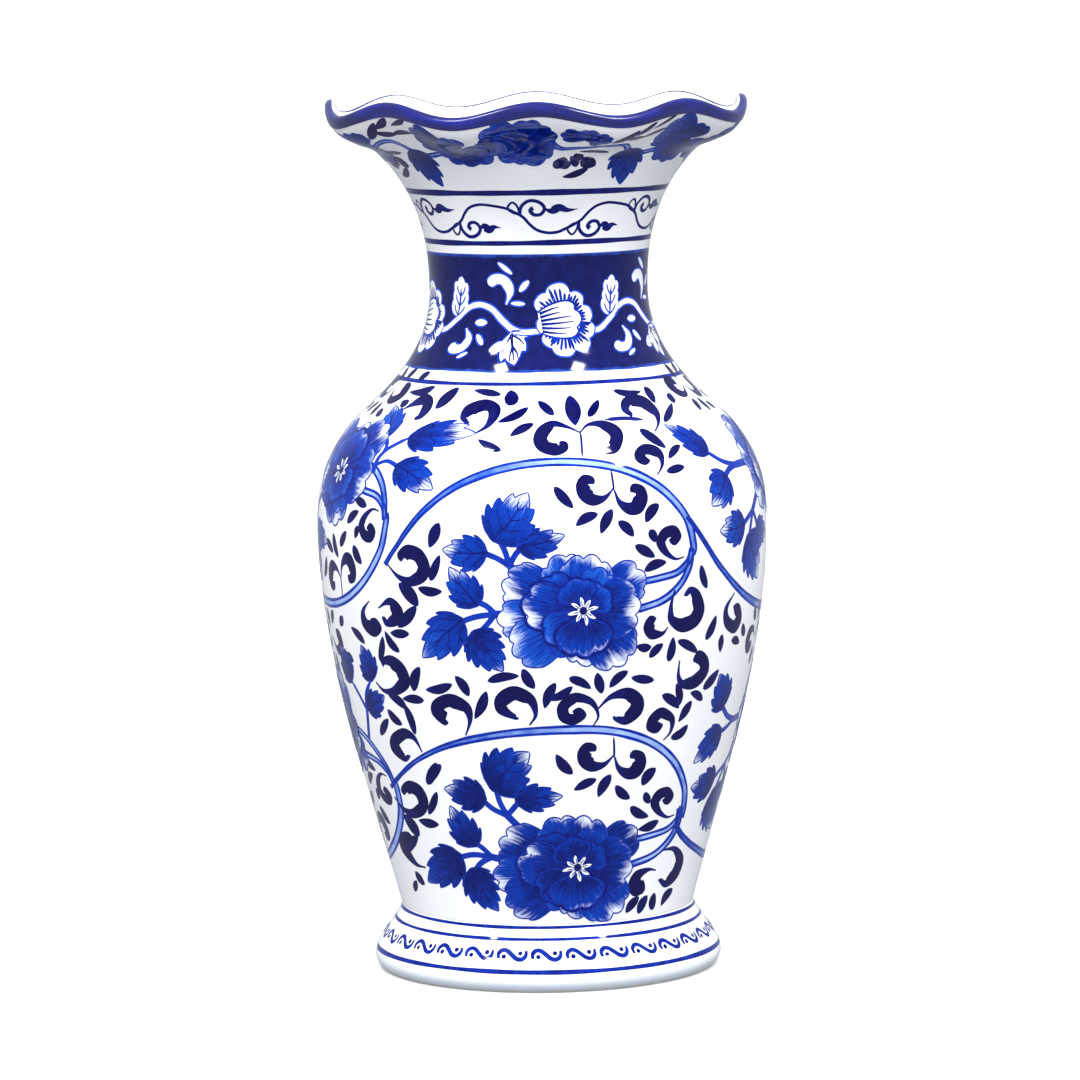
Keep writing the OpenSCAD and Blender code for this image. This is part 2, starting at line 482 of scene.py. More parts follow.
def shell_pieces():
    """The eight sections of the pot, each in place of its CAD node."""
    white = white_glaze()
    split_out = OUTSIDE.up(bezier(RIM_OUTSIDE, LIP_SPLIT)[1])
    split_in = INSIDE.up(bezier(RIM_INSIDE, LIP_SPLIT)[1])
    made = []
    for node, z0, z1 in (("lower_body", WAIST_Z, BELLY_Z), ("shoulder", BELLY_Z, NECK_JOINT_Z),
                         ("neck", NECK_JOINT_Z, MOUTH_JOINT_Z),
                         ("mouth_flare", MOUTH_JOINT_Z, RIM_Z)):
        runs = [skin_run(OUTSIDE, OUTSIDE.up(z0), OUTSIDE.up(z1), 1.6),
                skin_run(INSIDE, INSIDE.up(z1), INSIDE.up(z0), 3.0)]
        made.append((node, runs, white))
    made.append(("ruffled_rim", [skin_run(OUTSIDE, OUTSIDE.up(RIM_Z), split_out, 1.0),
                                 skin_run(INSIDE, split_in, INSIDE.up(RIM_Z), 1.0)], white))
    made.append(("rolled_lip", [skin_run(OUTSIDE, split_out, OUTSIDE.s[-1], 0.6),
                                skin_run(INSIDE, INSIDE.s[-1], split_in, 0.6)], white))
    made.append(("foot_ring", [flat_run((REST_IN_R, 0), (REST_OUT_R, 0)),
                               skin_run(FOOT, 0, FOOT.s[-1], 0.8),
                               flat_run((FLOOR_R, WAIST_Z), (FLOOR_R, FLOOR_Z),
                                        (RECESS_R, FLOOR_Z))], foot_clay()))
    made.append(("base_floor", [flat_run((PIN_R, FLOOR_Z), (FLOOR_R, FLOOR_Z),
                                         (FLOOR_R, FLOOR_TOP_Z), (PIN_R, FLOOR_TOP_Z))], white))
    for node, runs, material in made:
        piece = turned_piece(node + "_fired", runs, material)
        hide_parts(node)


def foot_clay():
    """The foot's glaze, a little greyer, wiped off the ring that stands on the table."""
    n = Nodes("foot_clay")
    height = n.add("ShaderNodeSeparateXYZ", {0: n.add("ShaderNodeTexCoord").outputs["Object"]})
    ragged = n.plus(height.outputs[2], n.times(n.noise(220.0, 3.0), 0.0012))
    glazed = n.span(ragged, 0.0009, 0.0014)
    grain = n.noise(1500.0, 2.0)
    clay = n.blend(grain, (0.50, 0.44, 0.37, 1), (0.66, 0.60, 0.52, 1))
    pool = n.span(ragged, 0.002, 0.0075)
    colour = n.blend(pool, (0.62, 0.68, 0.75, 1), (0.83, 0.85, 0.875, 1))
    n.glaze(n.blend(glazed, clay, colour))
    return n.material


# ---------------------------------------------------------------- brush strokes


class Brush:
    """Collects the strokes of one paint, then makes one piece of them.

    A stroke is a grid of points. It becomes a thin closed slab let into the glaze, with the
    grid as its top. Later coats lie a little higher, so strokes overlap as they were painted.
    """

    def __init__(self, name, material, slot="cobalt_glaze"):
        self.name = name
        self.material = material
        self.slot = slot
        self.verts, self.normals, self.quads, self.uvs = [], [], [], []
        self.traits = {"load": [], "pale": [], "seed": []}
        self.count = 0

    def stroke(self, skin, theta, s, coat, load=0.5, pale=0.0, closed=False):
        """Adds the slab under the grid of angles and distances. Rows run along the stroke."""
        rows, cols = theta.shape
        lift = FIRST_COAT + COAT * (coat + STAGGER * (len(self.quads) % STAGGER_OVER))
        normal = skin.normal(theta, s).reshape(-1, 3)
        top = skin.point(theta, s, lift).reshape(-1, 3)
        root = skin.point(theta, s, -STROKE_ROOT).reshape(-1, 3)
        index = np.arange(rows * cols).reshape(rows, cols)
        if closed:
            index = np.vstack([index, index[:1]])
        quads = np.stack([index[:-1, :-1], index[1:, :-1], index[1:, 1:], index[:-1, 1:]], -1)
        quads = quads.reshape(-1, 4)
        across = np.cross(top[quads[:, 2]] - top[quads[:, 0]], top[quads[:, 3]] - top[quads[:, 1]])
        turned = (across * normal[quads[:, 0]]).sum() < 0
        edge = self.border(index, closed)
        if turned:
            quads, edge = quads[:, ::-1], edge[:, ::-1]
        walls = np.concatenate([edge[:, ::-1], edge + rows * cols], 1)
        solid = np.concatenate([quads, quads[:, ::-1] + rows * cols, walls])
        u, v = np.meshgrid(np.linspace(0, 1, rows), np.linspace(0, 1, cols), indexing="ij")
        uv = np.stack([u.ravel(), v.ravel()], 1)
        self.quads.append(solid + self.count)
        self.verts += [top, root]
        self.normals += [normal, normal]
        self.uvs += [uv, uv]
        for name, value in (("load", load), ("pale", pale), ("seed", random.uniform(0, 50))):
            grid = np.broadcast_to(np.asarray(value, float), (rows, cols)).ravel()
            self.traits[name] += [grid, grid]
        self.count += 2 * rows * cols

    @staticmethod
    def border(index, closed):
        """Edges round the grid, each running as the faces beside it do."""
        first = np.stack([index[:-1, 0], index[1:, 0]], 1)
        last = np.stack([index[1:, -1], index[:-1, -1]], 1)
        if closed:
            return np.concatenate([first, last])
        end = np.stack([index[-1, :-1], index[-1, 1:]], 1)
        start = np.stack([index[0, 1:], index[0, :-1]], 1)
        return np.concatenate([first, end, last, start])

    def finish(self):
        """Makes the piece."""
        verts = np.concatenate(self.verts) * MM
        quads = np.concatenate(self.quads)
        corner = quads.ravel()
        piece = finish_mesh(self.name, verts, quads.tolist(), np.concatenate(self.normals)[corner],
                            self.material)
        layer = piece.data.uv_layers.new(name="Stroke")
        layer.uv.foreach_set("vector", np.concatenate(self.uvs)[corner].ravel())
        for name, parts in self.traits.items():
            trait = piece.data.attributes.new(name, "FLOAT", "POINT")
            trait.data.foreach_set("value", np.concatenate(parts))


class Easel:
    """A place to paint: x to the right and y up the wall, in millimetres, from one point.

    The painting there can be turned over (flip -1), drawn wider or narrower, or mirrored
    (wide below 0), and can rise towards its left (lean).
    """

    def __init__(self, skin, angle, z, flip=1, wide=1.0, lean=0.0):
        self.skin = skin
        self.theta = math.radians(angle)
        self.s = skin.up(z)
        self.flip = flip
        self.wide = wide
        self.lean = lean

    def place(self, x, y):
        """Angle and distance up the wall of local points."""
        s = self.s + self.flip * (y + self.lean * np.maximum(0, -x))
        return self.theta + self.wide * x / self.skin.radius(s), s

    def local(self, pairs):
        """Local points from pairs of angle past the easel's and height on the vase."""
        pairs = np.array(pairs, float)
        s = self.skin.up(pairs[:, 1])
        x = np.radians(pairs[:, 0]) * self.skin.radius(s) / self.wide
        return np.stack([x, (s - self.s) / self.flip], 1)


def even(curve, step):
    """The same line with evenly spaced points."""
    along = np.concatenate([[0], np.cumsum(np.hypot(*np.diff(curve, axis=0).T))])
    stops = np.linspace(0, along[-1], max(5, int(along[-1] / step) + 1))
    return np.stack([np.interp(stops, along, curve[:, k]) for k in (0, 1)], 1)


def smooth(points, step=0.7):
    """Evenly spaced points on a smooth curve through the given ones."""
    p = np.array(points, float)
    p = np.vstack([2 * p[0] - p[1], p, 2 * p[-1] - p[-2]])
    t = np.linspace(0, 1, 16, endpoint=False)[:, None]
    parts = []
    for a, b, c, d in zip(p, p[1:], p[2:], p[3:]):
        parts.append(0.5 * (2 * b + (c - a) * t + (2 * a - 5 * b + 4 * c - d) * t**2
                            + (3 * b - a - 3 * c + d) * t**3))
    return even(np.vstack(parts + [p[-2:-1]]), step)


def ease(t, lo, hi):
    """Goes smoothly from 0 at lo to 1 at hi."""
    t = np.clip((t - lo) / (hi - lo), 0, 1)
    return t * t * (3 - 2 * t)


def hand(n, amount=0.05):
    """The slow unevenness of a hand-held brush: n numbers about 1."""
    knots = [random.uniform(-amount, amount) for _ in range(max(3, n // 5))]
    return 1 + np.interp(np.linspace(0, len(knots) - 1, n), np.arange(len(knots)), knots)


# Share of a bend's radius that a stroke may fill, and half widths that take more columns
BEND_ROOM = 0.92
FINE = 0.65
BROAD = 1.5


def ribbon(brush, easel, curve, width, coat, load=0.5, offset=0.0):
    """Stroke of varying width along a curve. It doesn't fold over inside a bend."""
    lead = np.gradient(curve, axis=0)
    gap = np.maximum(np.linalg.norm(lead, axis=1, keepdims=True), 1e-9)
    lead = lead / gap
    left = np.stack([-lead[:, 1], lead[:, 0]], 1)
    bend = ((np.gradient(lead, axis=0) / gap) * left).sum(1)
    half = np.broadcast_to(np.asarray(width, float), len(curve)) / 2
    room = BEND_ROOM / np.maximum(np.abs(bend), 1e-6)
    to_left = np.where(bend > 0, np.minimum(offset + half, room), offset + half)
    to_right = np.where(bend < 0, np.maximum(offset - half, -room), offset - half)
    cols = 2 if half.max() < FINE else 3 if half.max() < BROAD else 5
    mix = np.linspace(0, 1, cols)[None, :]
    reach = to_right[:, None] * (1 - mix) + to_left[:, None] * mix
    theta, s = easel.place(curve[:, :1] + left[:, :1] * reach, curve[:, 1:] + left[:, 1:] * reach)
    brush.stroke(easel.skin, theta, s, coat, load[:, None] if np.ndim(load) else load)


def line(brush, easel, points, width, coat, load=0.4, taper=(0.3, 0.3)):
    """Thin painted line. The taper is how wide each end is beside the middle."""
    curve = smooth(points)
    t = np.linspace(0, 1, len(curve))
    ends = (taper[0] + (1 - taper[0]) * ease(t, 0, 0.2)) * (
        taper[1] + (1 - taper[1]) * ease(1 - t, 0, 0.2))
    ribbon(brush, easel, curve, width * ends * hand(len(curve)), coat, load)


# How much fuller leaflets and scrolls are than their nominal widths, and how far a scroll's
# width lies to the inside of its curl
LEAFLET_FULL = 1.22
SCROLL_FULL = 1.18
SCROLL_INSIDE = 0.36


def leaflet(brush, easel, start, end, width, coat=3):
    """One dab of the brush: a willow leaf from start to end."""
    a, b = np.array(start, float), np.array(end, float)
    side = np.array([a[1] - b[1], b[0] - a[0]])
    curve = smooth([a, (a + b) / 2 + side * random.uniform(-0.10, 0.10), b], 0.6)
    t = np.linspace(0, 1, len(curve))
    swell = np.sin(np.pi * t ** random.uniform(0.8, 1.2)) ** 0.6
    w = np.maximum(0.1, LEAFLET_FULL * width * swell * hand(len(t), 0.06))
    ribbon(brush, easel, curve, w, coat, 0.45 + 0.45 * swell)


def comma(curve, width, bulb=True):
    """Width along a comma: a thin tail, a full body, and a round or a hooked end."""
    tail = 0.13
    t = np.linspace(0, 1, len(curve))
    left_over = (1 - t) * np.linalg.norm(curve[1] - curve[0]) * (len(curve) - 1)
    body = tail + (1 - tail) * ease(t, 0.0, 0.45)
    cap = width * (0.5 if bulb else 0.35)
    ending = np.sqrt(np.clip(1 - (1 - np.minimum(left_over / cap, 1)) ** 2, 0, 1))
    if not bulb:
        ending = ending * (0.35 + 0.65 * ease(left_over, 0, 2.6 * width))
    return np.maximum(0.08, width * body * ending * hand(len(t), 0.04))


def scroll(brush, easel, points, width, bulb=True):
    """Comma-shaped scroll, fuller on the inside of its curl."""
    curve = smooth(points, 0.6)
    w = SCROLL_FULL * comma(curve, width, bulb)
    step = np.diff(curve, axis=0)
    turning = np.sign((step[:-1, 0] * step[1:, 1] - step[:-1, 1] * step[1:, 0]).sum())
    ribbon(brush, easel, curve, w, 3, 0.3 + 0.6 * w / width, SCROLL_INSIDE * turning * w)


def blob(brush, easel, centre, radius, coat):
    """Round dab."""
    x = np.linspace(-1, 1, 9) * radius
    curve = np.stack([centre[0] + x, np.full(9, float(centre[1]))], 1)
    ribbon(brush, easel, curve, np.maximum(0.08, 2 * np.sqrt(radius**2 - x**2)), coat, 0.9)


def ring(brush, skin, z, width, load):
    """Line thrown round the vase on the wheel."""
    sway = 0.15
    turns = np.linspace(0, 2 * math.pi, LINE_ROUND, endpoint=False)
    phase = random.uniform(0, 6)
    middle = skin.up(z) + sway * (np.sin(turns + phase) + 0.4 * np.sin(3 * turns + 2 * phase))
    half = width / 2 * (1 + 0.10 * np.sin(5 * turns + phase) + 0.07 * np.sin(13 * turns))
    s = middle[:, None] + half[:, None] * np.array([-1.0, 0.0, 1.0])
    brush.stroke(skin, np.repeat(turns[:, None], 3, 1), s, 0, load, closed=True)


def flood(brush, skin, s0, s1, coat=0, ruffle=0.0):
    """Band of colour right round the vase between two distances up the wall.

    Its lower edge runs straighter than the ruffled rim does, by the ruffle's share given.
    """
    wave = 0.12
    turns = np.linspace(0, 2 * math.pi, LINE_ROUND, endpoint=False)
    cols = max(3, int(abs(s1 - s0) / 1.2) + 1)
    mix = np.linspace(0, 1, cols)
    low_edge = s0 + wave * (np.sin(7 * turns) + 0.6 * np.sin(23 * turns + 1))
    low_edge = low_edge - ruffle * np.cos(LOBES * turns)
    s = low_edge[:, None] * (1 - mix) + s1 * mix
    brush.stroke(skin, np.repeat(turns[:, None], cols, 1), s, coat, 0.8, closed=True)


# ---------------------------------------------------------------- leaves, petals and stems


def leaf(blade, pen, easel, base, tip, width, coat=4, pale=0.0, teeth=4, line_w=0.5):
    """Saw-edged leaf: a washed blade with its outline, midrib and side veins drawn over it."""
    a, b = np.array(base, float), np.array(tip, float)
    length = np.hypot(*(b - a))
    lead = (b - a) / length
    left = np.array([-lead[1], lead[0]])
    bow = random.uniform(-0.06, 0.06) * length
    # Each tooth has five stops: how far along it they are, how wide, and how far pushed forward
    per_tooth = 5
    notch = np.array([0.0, 0.25, 0.5, 0.75, 0.92])
    u = np.concatenate([(k + notch) / teeth for k in range(teeth)] + [[1.0]])
    saw = np.tile([0.84, 0.96, 1.05, 1.13, 1.14], teeth)
    push = np.tile([0.0, 0.15, 0.4, 0.75, 1.0], teeth) * 0.30 * length / teeth
    # The blade is fullest a third of the way up, and its last tooth narrows to the tip
    full = np.sin(np.pi * u ** 0.62) ** 0.9 * np.append(saw, 1.0)
    full[-per_tooth:-1] *= np.linspace(0.95, 0.65, per_tooth - 1)
    half = width / 2 * np.maximum(0.02, full)
    push = np.append(push * np.minimum(1, (1 - u[:-1]) * 5), 0.0)
    spine = a + lead * length * u[:, None] + left * (bow * np.sin(np.pi * u))[:, None]
    v = np.linspace(-1, 1, 2 * max(2, math.ceil(width / 2.6)) + 1)
    points = (spine[:, None, :] + left * (half[:, None] * v)[..., None]
              + lead * (push[:, None] * np.abs(v) ** 1.5)[..., None])
    theta, s = easel.place(points[..., 0], points[..., 1])
    lit_side = random.choice([-1, 1])
    blade.stroke(easel.skin, theta, s, coat, random.uniform(0.1, 0.5),
                 pale * (1.1 + 0.4 * lit_side * v)[None, :])
    for side in (0, -1):
        ribbon(pen, easel, even(points[:, side], 0.45), line_w, coat + 1, 0.4)
    middle = smooth(spine[:-2:3], 0.8)
    ribbon(pen, easel, middle, np.linspace(1.5, 0.4, len(middle)) * line_w, coat + 1, 0.9)
    for k in range(teeth - 1):
        root = per_tooth * k + 1
        for side in (-1, 1):
            end = min(root + per_tooth + 1, len(u) - 3)
            out = spine[end] + side * left * half[end] * 0.8
            knee = (spine[root] + out) / 2 + side * left * 0.04 * width
            curve = smooth([spine[root], knee, out], 0.7)
            ribbon(pen, easel, curve, np.linspace(1.0, 0.4, len(curve)) * line_w, coat + 1, 0.8)


def petal(blade, pen, easel, bearing, reach, width, coat, pale=0.0, root=2.5, streaks=9,
          at=(0, 0), heel=0.05, line_w=0.5, step=1.1, shadow=0.0):
    """Fan-shaped petal with a lobed edge, an outline, and streaks drawn from its root.

    The heel is how wide its root is beside its full width. The step is its grid's, which has
    to be finer where the wall bends more. The shadow is a wider dark line behind its edge.
    """
    turn = math.radians(bearing)
    lead = np.array([math.cos(turn), math.sin(turn)])
    left = np.array([-lead[1], lead[0]])
    lobes = max(2, round(width / 6.6))
    phase = random.uniform(-0.25, 0.25)

    def spot(u, v):
        """Points of the petal: u from root to edge, v from side to side (-1 to 1).

        The crown is how far the edge falls back at its sides, and the scallop how far it dips
        between two lobes.
        """
        crown = 0.42 * width * (1 - np.sqrt(np.maximum(0, 1 - v * v)))
        scallop = 1 - np.abs(np.cos(lobes * np.pi * (v + phase) / 2)) ** 0.55
        far = reach - crown - min(2.3, 0.13 * reach) * scallop * (1 - v**4)
        along = root + (far - root) * u
        across = v * width / 2 * (heel + (1 - heel) * np.sin(np.pi / 2 * u) ** 0.8)
        return np.array(at) + along[..., None] * lead + across[..., None] * left

    rows = max(8, math.ceil((reach - root) / step))
    cols = 6 * lobes + 1
    sides = np.sin(np.linspace(-1.4, 1.4, cols)) / math.sin(1.4)
    u, v = np.meshgrid(np.linspace(0, 1, rows), sides, indexing="ij")
    grid = spot(u, v)
    theta, s = easel.place(grid[..., 0], grid[..., 1])
    # One lobe is left whiter than the rest
    lobe = random.uniform(-0.6, 0.6)
    lit = 0.3 + 0.9 * np.exp(-((v - lobe) / 0.35) ** 2)
    blade.stroke(easel.skin, theta, s, coat, random.uniform(0.2, 0.8), pale * lit)
    t = np.linspace(0, 1, 60)
    ones = np.ones(60)
    rim = np.concatenate([spot(t, -ones), spot(ones, np.sin(1.57 * (2 * t - 1))),
                          spot(t[::-1], ones)])
    ribbon(pen, easel, even(rim, 0.5), line_w, coat + 1, 0.35)
    if shadow:
        ribbon(pen, easel, even(rim, 0.5), shadow, coat - 0.9, 0.8)
    for k in range(streaks):
        side = (k + 0.5) / streaks * 2 - 1
        stop = random.uniform(0.6, 0.9) * (1 - 0.12 * abs(side))
        curve = even(spot(np.linspace(0.04, stop, 12), np.full(12, side * 0.93)), 0.8)
        ribbon(pen, easel, curve, np.linspace(1.6, 0.5, len(curve)) * line_w, coat + 1, 0.7)


def vine(kit, easel, points, width, start=1.0):
    """Double-edged stem: a watery stroke between two drawn lines.

    The start is how wide it begins beside its full width.
    """
    curve = smooth(points, 0.9)
    t = np.linspace(0, 1, len(curve))
    w = width * (start + (1 - start) * ease(t, 0, 0.5)) * hand(len(curve), 0.04)
    ribbon(kit["vine"], easel, curve, w, 0, 0.5 + 0.3 * np.sin(7 * t))
    for side in (-1, 1):
        ribbon(kit["blue"], easel, curve, hand(len(curve), 0.2), 1, 0.35, side * (w / 2 - 0.25))


# ---------------------------------------------------------------- motifs of the body


PEONY = [(157, 29.5, 17, 0.75), (118, 21.5, 15, 0.6), (30, 25, 15, 0.55), (186, 29.5, 13, 0.8),
         (213, 28, 18, 0.5), (240, 18, 14, 0.0), (-86, 19.5, 14, 0.75), (-50, 24.5, 19, 0.7),
         (86, 19.5, 19, 0.75), (62, 16, 12, 0.2), (2, 20.5, 21, 0.75), (148, 18, 14, 0.0),
         (172, 21, 16, 0.8), (222, 16, 14, 0.1), (-88, 16, 19, 0.35), (40, 11, 12, 0.1),
         (110, 11.5, 13, 0.1)]


def blossom(kit, easel, petals=PEONY, coat=8, star=5.0, step=1.1, front=6):
    """Open flower, back petals first, with a white star at its heart if it has one.

    Each petal is (bearing in degrees, reach, width, how white its edge is). The last ones, at
    the front, throw a painted shadow.
    """
    for k, (bearing, reach, width, pale) in enumerate(petals):
        shadow = 0.12 * width if k >= len(petals) - front else 0.0
        petal(kit["wash"], kit["blue"], easel, bearing, reach, width, coat + 1.8 * k, pale,
              root=max(1.2, star / 2), step=step, shadow=shadow)
    top = coat + 1.8 * len(petals) + 1
    for k in range(8 if star else 0):
        turn = math.radians(45 * k + 12)
        ray = np.array([math.cos(turn), math.sin(turn)]) * star
        leaflet(kit["white"], easel, ray * 0.3, ray * random.uniform(0.86, 1.1), 0.2 * star, top)
        line(kit["blue"], easel, [ray * 0.3, ray * 0.5, ray * 0.75], 0.35, top + 1)
    blob(kit["blue"], easel, (0, 0), 0.27 * star or 1.5, top + 1)


LEAVES = [((-31, 24.3), (-18, 40.5), 16.5, 0.75, 5), ((-22.5, 22), (-6.2, 26), 9.5, 0.75, 4),
          ((-32.5, 20.2), (-48.8, 21), 11.5, 0.8, 4), ((-35.7, 2), (-46.4, 15), 11, 0.75, 4),
          ((-41.5, -2.5), (-57, -17), 14.5, 0.35, 4), ((-38, -6.8), (-27, -20.8), 13, 0.3, 5)]
RIGHT_LEAVES = LEAVES[:3] + [((-39, 1.5), (-52, 12), 12, 0.75, 4),
                             ((-43, -6), (-51, -19.5), 12, 0.5, 4)]


def spray(kit, easel, leaves=LEAVES):
    """The peony's leaves, on two stalks that each part into one twig for every leaf."""
    for stalk, group in (([(-12, 7), (-19, 11), (-25, 15.8)], leaves[:3]),
                         ([(-12, 0), (-22, -1), (-30, -0.8)], leaves[3:])):
        line(kit["blue"], easel, stalk, 2.6, 3, 0.25, (1.0, 1.0))
        fork = np.array(stalk[-1])
        for base, tip, width, pale, teeth in group:
            into = np.array(base) + 0.12 * np.subtract(tip, base)
            side = np.array([fork[1] - into[1], into[0] - fork[0]]) * random.uniform(-0.1, 0.1)
            line(kit["blue"], easel, [fork, (fork + into) / 2 + side, into], 2.0, 3, 0.25,
                 (1.1, 0.6))
            leaf(kit["wash"], kit["blue"], easel, base, tip, width, 4, pale, teeth)


HIGH_ARCH = [(-73, 14.5), (-68.5, 20), (-57, 32.8), (-41, 43.6), (-22, 50), (-3.2, 51.3),
             (14, 48.2), (28.5, 40.8), (39, 30), (42.3, 20), (41.7, 17)]
LOW_ARCH = [(-75.5, 26.5), (-61.2, 38), (-45.5, 45.6), (-26.5, 50), (-7, 51.3), (10, 50.2),
            (25, 45), (36, 36.5), (42, 26.5), (42.6, 19), (41.6, 14.6)]


def arch(kit, easel, sweep):
    """Vine that runs over the peony and forks behind it."""
    upper = [(41.5, 19), (40.5, 15.5), (38.8, 13.5), (34.7, 11), (27.9, 9.8), (21.8, 9)]
    lower = [(41.3, 17), (40, 12), (36, 6.5), (29.2, 2), (19.7, -0.5)]
    vine(kit, easel, upper, 2.3)
    vine(kit, easel, lower, 2.5)
    vine(kit, easel, sweep, 2.9, 0.5)


def flourish(navy, easel, curls, dabs):
    """Scrolls, each (width, round end or not, points), and leaflets, each (start, end, width)."""
    for width, bulb, points in curls:
        scroll(navy, easel, points, width, bulb)
    for start, end, width in dabs:
        leaflet(navy, easel, start, end, width)


# In the space under the arch
INNER_CURLS = [
    (4.3, True, [(11.4, 41), (8, 37.3), (3.5, 36.2), (-0.2, 38.7), (-1, 42.6), (1, 45.6),
                 (3.9, 45.2), (4.7, 43)]),
    (4.6, True, [(11.4, 40.5), (12.8, 35.8), (16.3, 32.7), (20.6, 33), (23, 36.8), (22.2, 40.6),
                 (18.8, 41.8), (17.4, 39.6)]),
    (3.4, True, [(38, 16), (34, 15.5), (29.4, 18), (27, 22), (29.3, 26), (34, 26.7),
                 (36.4, 23.5), (34, 21), (31.6, 22.6)])]
INNER_DABS = [((-9, 42.5), (-3, 35), 3), ((-2.4, 29), (5.4, 32.8), 2.8),
              ((6.2, 26), (10.5, 34.2), 3), ((12.4, 30), (18, 24.5), 2.8),
              ((22.6, 29), (28, 35), 3.4), ((24, 26.5), (26.2, 22), 2.6),
              ((18.4, 21.5), (26, 17), 2.8), ((21.8, 12.5), (30.6, 15), 2.8)]
# In the corner where the arch springs
SIDE_CURLS = [(4.2, True, [(-71, 14.5), (-66, 10), (-60.5, 8.2), (-55, 10.5), (-53.5, 15),
                           (-56.5, 20), (-62, 21.3), (-65.7, 18.5), (-64.6, 16)])]
SIDE_DABS = [((-52.8, 10), (-49, 19), 2.8), ((-57.8, 7.3), (-48.3, 6.5), 2.8),
             ((-53, 21.3), (-49, 30), 3.5), ((-66, 8.5), (-57.8, 1), 4),
             ((-58.5, 1), (-66.6, -7), 3.5)]
# A sprig for the gaps between the flowers: two scrolls back to back among leaflets
SPRIG_CURLS = [(4.2, True, [(-1, 0), (-4.5, 3.8), (-9.5, 3.6), (-11.8, -0.5), (-9.5, -4.5),
                            (-5.5, -4), (-5, -1)]),
               (4.2, True, [(1, 0), (4, 4.6), (9, 5.4), (12.2, 2), (10.8, -2.6), (7, -3.4)])]
SPRIG_DABS = [((-3, 6), (-6.5, 11.5), 2.8), ((0.8, 5.8), (1.8, 12.5), 2.8),
              ((5.5, 8.6), (10, 12), 2.8), ((-1, -3.5), (-2.5, -10), 2.8),
              ((3.8, -5), (7.5, -10), 2.8), ((-14.5, 2), (-18, 6.5), 2.8),
              ((14.8, 4), (19.5, 6.5), 2.8), ((13, -5.5), (17, -9), 2.8)]


def inner_scrolls(navy, easel):
    """Scrolls and leaflets that hang from the arch on a thin stem."""
    line(navy, easel, [(11, 48), (11.3, 44), (11.5, 40)], 0.8, 2)
    flourish(navy, easel, INNER_CURLS, INNER_DABS)


def peony_unit(kit, angle, z, sweep=HIGH_ARCH, lean=0.0, corner=0.0):
    """One upright flower with its leaves, arch and scrolls. The corner's scroll can be raised."""
    easel = Easel(OUTSIDE, angle, z)
    arch(kit, easel, sweep)
    inner_scrolls(kit["navy"], easel)
    side = Easel(OUTSIDE, angle - 0.6 - 0.25 * corner, z + corner)
    flourish(kit["navy"], side, SIDE_CURLS, SIDE_DABS)
    spray(kit, Easel(OUTSIDE, angle, z, lean=lean))
    blossom(kit, easel)


def hanging_unit(kit, place, flower, stem, sweep=HIGH_ARCH, squeeze=1.0, petals=PEONY,
                 leaves=LEAVES):
    """One flower hung upside down. Each place is an angle and a height: of the arch, of the
    flower's heart, and of the point its leaves are counted from.
    """
    hung = Easel(OUTSIDE, *place, -1, squeeze)
    arch(kit, hung, sweep)
    inner_scrolls(kit["navy"], hung)
    spray(kit, Easel(OUTSIDE, *stem, -1), leaves)
    blossom(kit, Easel(OUTSIDE, *flower, -1), petals)


# Scrolls over and beside the upper peony: (width, round end or not, angles and heights)
UPPER_CURLS = [
    (4.5, False, [(-20, 193.5), (-16, 196), (-14, 199.5), (-15, 202.5), (-20, 204), (-26, 202),
         (-26.5, 198.5), (-23, 196.3)]),
    (4.2, True, [(12, 194), (8, 196.3), (4, 197.5), (0, 195.5), (-1.5, 192), (0, 188.8),
         (4, 187.3), (7, 188.5), (7.3, 190.5), (5.5, 191.2)]),
    (4.2, False, [(12, 194), (15, 196.5), (20, 197), (24, 195), (24.5, 192), (22, 188), (19, 187),
         (16.5, 188.5), (16.2, 189.7)]),
    (4.5, False, [(36.5, 192.8), (40, 195.5), (42.5, 199), (41, 203), (36, 204.3), (31, 203),
         (29, 200), (31, 197.8)]),
    (3.6, True, [(32, 179), (34.5, 182), (35.5, 185.5), (34, 188), (30.5, 188.8), (27.5, 187),
         (27, 184.5), (29, 183), (31, 184)]),
    (4.2, False, [(-54, 200), (-50, 203.6), (-47, 205), (-43, 204), (-41, 201), (-42, 198),
         (-44.5, 197.2)]),
    (3.6, True, [(33.7, 127), (32, 124.5), (28.5, 124), (26.7, 127.5), (28, 131), (30, 130.5)]),
    (4.6, False, [(35, 140), (33.7, 134), (34, 129), (38, 125.5), (43, 127), (45, 132), (43, 138),
         (40, 140), (38, 137.5)]),
    (4.0, True, [(58, 136), (54, 131), (55, 125), (60, 122), (63, 126), (61, 131), (58, 131)]),
    (4.4, False, [(-46.5, 134), (-42, 137.5), (-38.5, 134), (-39.5, 129.5), (-44, 128),
         (-45.5, 131)]),
    (4.0, True, [(-50, 136), (-53.5, 132), (-53.5, 127), (-49.5, 124), (-46.5, 126.5),
         (-48, 129.5), (-50.5, 129)])]
